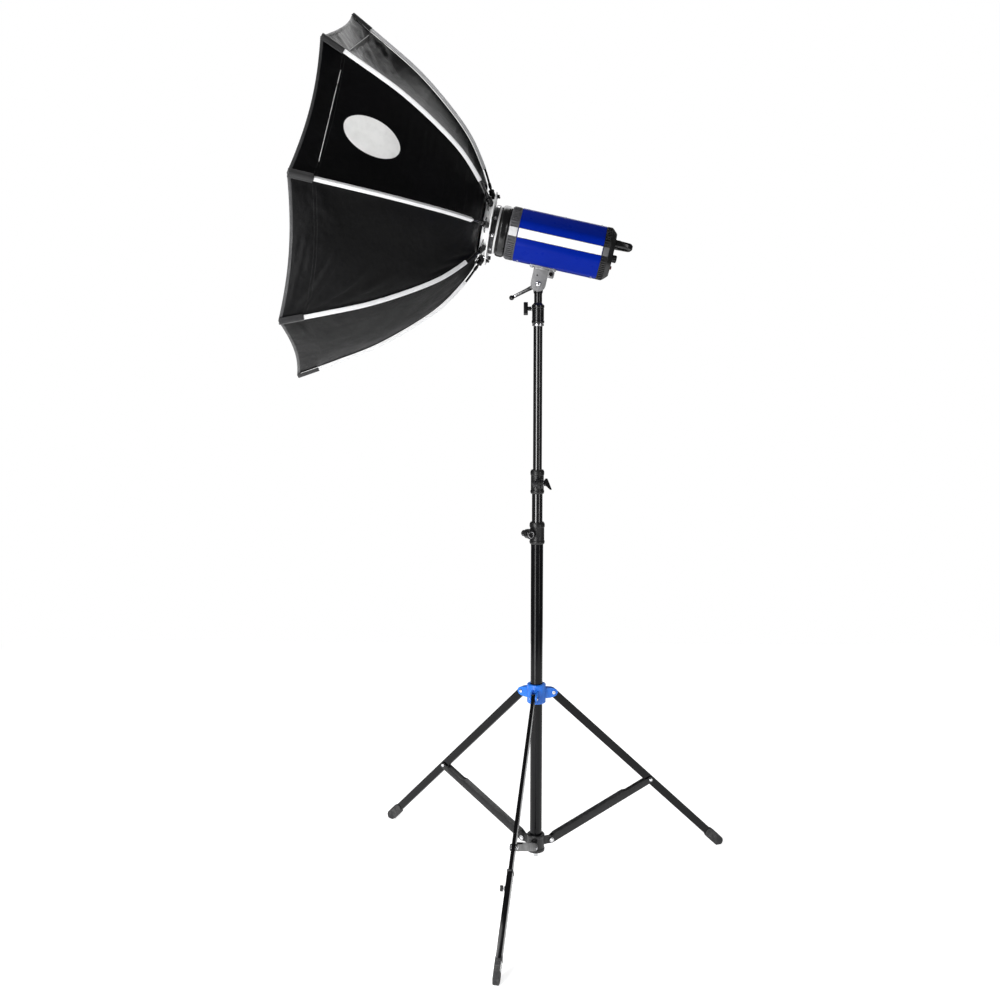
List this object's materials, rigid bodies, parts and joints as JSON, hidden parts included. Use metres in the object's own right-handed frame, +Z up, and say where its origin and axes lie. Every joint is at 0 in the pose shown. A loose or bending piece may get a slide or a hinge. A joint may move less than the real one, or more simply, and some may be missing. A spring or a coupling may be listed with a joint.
{
  "type": "studio softbox",
  "caption": "Octagonal softbox on a flash head, carried by a folding tripod light stand with a telescopic column; the head tilts and pans and the softbox turns on its ring.",
  "frame": {"origin": "bottom centre of the object's box, on the floor that the three feet stand on", "axes": "+Z up along the column, the softbox faces -X and slightly up, the front leg points to -Y"},
  "size_m": [1.2606, 1.1124, 2.4308],
  "materials": {
    "tube_black": "gloss",
    "brace_black": "satin",
    "casting_black": "satin",
    "spider_blue": "satin",
    "bush_nylon": "matte",
    "bright_steel": "polished",
    "plain_steel": "satin",
    "foot_rubber": "matte",
    "shell_blue": "satin",
    "head_black": "satin",
    "panel_grey": "satin",
    "button_red": "gloss",
    "mount_metal": "satin",
    "lamp_ceramic": "satin",
    "lamp_glass": "gloss",
    "ring_white": "satin",
    "rod_white": "satin",
    "canopy_black": "satin",
    "diffuser_white": "matte"
  },
  "bodies": {
    "column_base": {"lower_tube": "tube_black", "base_collar": "casting_black", "base_plug": "plain_steel", "lower_clamp": "casting_black"},
    "lower_knob": {"lower_clamp_knob": "casting_black"},
    "middle_section": {"middle_tube": "tube_black", "middle_tube_bush": "bush_nylon", "upper_clamp": "casting_black"},
    "upper_knob": {"upper_clamp_knob": "casting_black"},
    "upper_section": {"upper_tube": "tube_black", "upper_tube_bush": "bush_nylon", "top_spigot": "bright_steel"},
    "adapter": {"stand_adapter": "brace_black"},
    "adapter_knob": {"adapter_knob": "casting_black"},
    "head": {"head_shell": "shell_blue", "front_bezel": "head_black", "front_ring": "head_black", "bayonet_mount": "mount_metal", "lamp_base": "lamp_ceramic", "flash_tube": "lamp_glass", "modelling_lamp": "lamp_glass", "rear_cap": "head_black", "rear_panel": "panel_grey", "power_inlet": "head_black", "handle": "head_black", "tilt_bracket": "plain_steel", "tilt_bolt": "bright_steel"},
    "tilt_lever": {"tilt_lever": "brace_black"},
    "umbrella_screw": {"umbrella_screw": "casting_black"},
    "power_dial": {"power_dial": "head_black"},
    "power_switch": {"power_switch": "head_black"},
    "test_button": {"test_button": "button_red"},
    "softbox": {"speed_ring": "ring_white", "canopy": "canopy_black", "front_diffuser": "diffuser_white", "rib_1": "rod_white", "rib_2": "rod_white", "rib_3": "rod_white", "rib_4": "rod_white", "rib_5": "rod_white", "rib_6": "rod_white", "rib_7": "rod_white", "rib_8": "rod_white"},
    "ring_lock": {"ring_lock_screw": "casting_black"},
    "spider": {"spider_collar": "spider_blue", "leg_pin_front": "bright_steel", "leg_pin_right": "bright_steel", "leg_pin_left": "bright_steel"},
    "spider_knob": {"spider_knob": "casting_black"},
    "leg_front": {"leg_front": "tube_black"},
    "levelling_foot": {"levelling_sleeve": "tube_black", "foot_front": "foot_rubber"},
    "levelling_knob": {"levelling_knob": "casting_black"},
    "leg_right": {"leg_right": "tube_black", "foot_right": "foot_rubber"},
    "leg_left": {"leg_left": "tube_black", "foot_left": "foot_rubber"},
    "brace_front": {"brace_front": "brace_black"},
    "brace_right": {"brace_right": "brace_black"},
    "brace_left": {"brace_left": "brace_black"}
  },
  "joints": [
    {"name": "middle_slide", "type": "slide", "parent": "column_base", "child": "middle_section", "axis": [0, 0, 1], "range_m": [-0.078, 0.7]},
    {"name": "upper_slide", "type": "slide", "parent": "middle_section", "child": "upper_section", "axis": [0, 0, 1], "range_m": [-0.398, 0.4]},
    {"name": "adapter_pan", "type": "hinge", "parent": "upper_section", "child": "adapter", "pos_m": [0.04334, 0.06077, 1.63], "axis": [0, 0, 1], "continuous": true},
    {"name": "head_tilt", "type": "hinge", "parent": "adapter", "child": "head", "pos_m": [0.04334, 0.06077, 1.713], "axis": [0, 1, 0], "range_deg": [-35, 60]},
    {"name": "softbox_roll", "type": "hinge", "parent": "head", "child": "softbox", "pos_m": [-0.0934, 0.06077, 1.86406], "axis": [-0.9848, 0, 0.1736], "continuous": true},
    {"name": "tilt_lever_turn", "type": "hinge", "parent": "head", "child": "tilt_lever", "pos_m": [0.04334, 0.07637, 1.713], "axis": [0, 1, 0], "range_deg": [0, 55]},
    {"name": "umbrella_screw_turn", "type": "hinge", "parent": "head", "child": "umbrella_screw", "pos_m": [0.07763, 0.04677, 1.73856], "axis": [0, -1, 0], "range_deg": [0, 270]},
    {"name": "adapter_knob_turn", "type": "hinge", "parent": "adapter", "child": "adapter_knob", "pos_m": [0.01334, 0.06077, 1.646], "axis": [-1, 0, 0], "range_deg": [0, 270]},
    {"name": "lower_knob_turn", "type": "hinge", "parent": "column_base", "child": "lower_knob", "pos_m": [0.01535, 0.04328, 1.017], "axis": [0.5299, -0.848, 0], "range_deg": [0, 270]},
    {"name": "upper_knob_turn", "type": "hinge", "parent": "middle_section", "child": "upper_knob", "pos_m": [0.0502, 0.02849, 1.161], "axis": [0.9781, 0.2079, 0], "range_deg": [0, 270]},
    {"name": "spider_knob_turn", "type": "hinge", "parent": "spider", "child": "spider_knob", "pos_m": [0.04987, 0.10023, 0.56], "axis": [0.1633, 0.9866, 0], "range_deg": [0, 270]},
    {"name": "ring_lock_turn", "type": "hinge", "parent": "softbox", "child": "ring_lock", "pos_m": [-0.09865, 0.02709, 1.78243], "axis": [-0.9848, 0, 0.1736], "range_deg": [0, 270]},
    {"name": "power_dial_turn", "type": "hinge", "parent": "head", "child": "power_dial", "pos_m": [0.24824, 0.03677, 1.77871], "axis": [-0.9767, 0, 0.2147], "range_deg": [-150, 150]},
    {"name": "power_switch_rock", "type": "hinge", "parent": "head", "child": "power_switch", "pos_m": [0.23793, 0.09077, 1.78303], "axis": [0, 1, 0], "range_deg": [0, 6]},
    {"name": "test_button_press", "type": "slide", "parent": "head", "child": "test_button", "axis": [-0.9767, 0, 0.2147], "range_m": [0, 0.0025], "stiffness_N_per_m": 300, "springref_m": -0.001},
    {"name": "spider_slide", "type": "slide", "parent": "column_base", "child": "spider", "axis": [0, 0, 1], "range_m": [0, 0.342]},
    {"name": "leg_front_fold", "type": "hinge", "parent": "spider", "child": "leg_front", "pos_m": [0.03517, 0.01144, 0.547], "axis": [0.9866, -0.1633, 0], "range_deg": [0, 42.45]},
    {"name": "brace_front_fold", "type": "hinge", "parent": "column_base", "child": "brace_front", "pos_m": [0.03566, 0.0144, 0.098], "axis": [-0.9866, 0.1633, 0], "range_deg": [0, 60.61]},
    {"name": "leg_right_fold", "type": "hinge", "parent": "spider", "child": "leg_right", "pos_m": [0.09014, 0.07836, 0.547], "axis": [-0.3518, 0.9361, 0], "range_deg": [0, 42.45]},
    {"name": "brace_right_fold", "type": "hinge", "parent": "column_base", "child": "brace_right", "pos_m": [0.08733, 0.0773, 0.098], "axis": [0.3518, -0.9361, 0], "range_deg": [0, 60.61]},
    {"name": "leg_left_fold", "type": "hinge", "parent": "spider", "child": "leg_left", "pos_m": [0.0047, 0.0925, 0.547], "axis": [-0.6347, -0.7727, 0], "range_deg": [0, 42.45]},
    {"name": "brace_left_fold", "type": "hinge", "parent": "column_base", "child": "brace_left", "pos_m": [0.00702, 0.0906, 0.098], "axis": [0.6347, 0.7727, 0], "range_deg": [0, 60.61]},
    {"name": "levelling_slide", "type": "slide", "parent": "leg_front", "child": "levelling_foot", "axis": [-0.118, -0.7127, -0.6914], "range_m": [0, 0.12]},
    {"name": "levelling_knob_turn", "type": "hinge", "parent": "levelling_foot", "child": "levelling_knob", "pos_m": [-0.04563, -0.37867, 0.16602], "axis": [0.9866, -0.1633, 0], "range_deg": [0, 270]}
  ],
  "couplings": [
    {"joint": "leg_front_fold", "follows": "spider_slide", "rad_per_m": 2.1662},
    {"joint": "brace_front_fold", "follows": "spider_slide", "rad_per_m": 3.0933},
    {"joint": "leg_right_fold", "follows": "spider_slide", "rad_per_m": 2.1662},
    {"joint": "brace_right_fold", "follows": "spider_slide", "rad_per_m": 3.0933},
    {"joint": "leg_left_fold", "follows": "spider_slide", "rad_per_m": 2.1662},
    {"joint": "brace_left_fold", "follows": "spider_slide", "rad_per_m": 3.0933}
  ]
}
